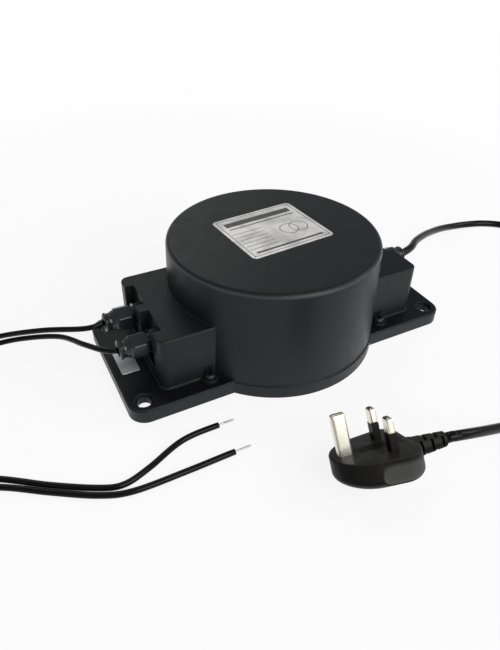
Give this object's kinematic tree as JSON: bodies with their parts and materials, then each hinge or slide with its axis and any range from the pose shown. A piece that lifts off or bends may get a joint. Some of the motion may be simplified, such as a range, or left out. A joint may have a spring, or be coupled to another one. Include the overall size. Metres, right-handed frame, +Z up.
{
  "type": "pool light transformer",
  "caption": "Encapsulated toroidal pool light transformer in a round drum housing on a flanged base plate, with cable glands, two low-voltage leads and a mains lead with a three-pin plug.",
  "frame": {"origin": "on the ground plane, under the middle of the base plate and the drum's axis", "axes": "+X along the base plate towards the mains gland and its lead; -X towards the two low-voltage glands; +Y across the plate, away from the side that the mains plug lies on; +Z up, away from the wall or shelf that the plate is fixed to"},
  "size_m": [0.5418, 0.2383, 0.0769],
  "materials": {
    "housing_plastic": "satin, fine moulded grain",
    "seal_rubber": "matt",
    "screw_steel": "black passivated steel",
    "potting_resin": "glossy cast resin",
    "core_steel": "wound silicon steel strip",
    "insulation_film": "polyester film",
    "winding_copper": "enamelled copper wire",
    "outer_tape_film": "yellow polyester tape",
    "cutout_case": "plain case",
    "inner_wire": "smooth wire covering",
    "splice_nylon": "crimped nylon sleeve",
    "gland_nylon": "satin nylon",
    "cable_pvc": "glossy cable sheath",
    "tinned_copper": "tinned strands",
    "plug_plastic": "satin moulded",
    "pin_brass": "nickel-plated brass",
    "fuse_ceramic": "ceramic tube, plated caps",
    "label_film": "brushed silver film, bare"
  },
  "bodies": {
    "housing": {"base_plate": "housing_plastic", "gasket": "seal_rubber", "cover": "housing_plastic", "cover_screws": "screw_steel", "potting_compound": "potting_resin", "toroid_core": "core_steel", "core_wrap": "insulation_film", "primary_winding": "winding_copper", "barrier_tape": "insulation_film", "secondary_winding": "winding_copper", "outer_tape": "outer_tape_film", "thermal_cutout": "cutout_case", "primary_leads": "inner_wire", "secondary_leads": "winding_copper", "mains_splices": "splice_nylon", "lv_splices": "splice_nylon", "gland_washers": "seal_rubber", "gland_lock_nuts": "gland_nylon", "rear_gland_body": "gland_nylon", "front_gland_body": "gland_nylon", "mains_gland_body": "gland_nylon", "rear_gland_seal": "seal_rubber", "front_gland_seal": "seal_rubber", "mains_gland_seal": "seal_rubber", "lv_tails": "cable_pvc", "mains_tail": "cable_pvc", "rear_lead": "cable_pvc", "front_lead": "cable_pvc", "rear_strands": "tinned_copper", "front_strands": "tinned_copper", "supply_cable": "cable_pvc", "mains_coil": "cable_pvc", "coil_tie": "gland_nylon", "plug_cable": "cable_pvc", "strain_relief": "plug_plastic", "plug_body": "plug_plastic", "earth_pin": "pin_brass", "line_pin": "pin_brass", "neutral_pin": "pin_brass", "pin_sleeves": "plug_plastic", "top_label": "label_film", "small_label": "label_film"},
    "rear_cap": {"rear_gland_cap": "gland_nylon"},
    "front_cap": {"front_gland_cap": "gland_nylon"},
    "mains_cap": {"mains_gland_cap": "gland_nylon"},
    "fuse_drawer": {"fuse_carrier": "plug_plastic", "fuse": "fuse_ceramic"}
  },
  "joints": [
    {"name": "rear_cap_turn", "type": "hinge", "parent": "housing", "child": "rear_cap", "pos_m": [-0.105, 0.015, 0.0315], "axis": [-1, 0, 0], "range_deg": [0, 360]},
    {"name": "front_cap_turn", "type": "hinge", "parent": "housing", "child": "front_cap", "pos_m": [-0.105, -0.015, 0.0315], "axis": [-1, 0, 0], "range_deg": [0, 360]},
    {"name": "mains_cap_turn", "type": "hinge", "parent": "housing", "child": "mains_cap", "pos_m": [0.105, 0, 0.0315], "axis": [1, 0, 0], "range_deg": [0, 360]},
    {"name": "fuse_drawer_slide", "type": "slide", "parent": "housing", "child": "fuse_drawer", "axis": [0.0317, 0.5605, 0.8275], "range_m": [0, 0.012]}
  ]
}
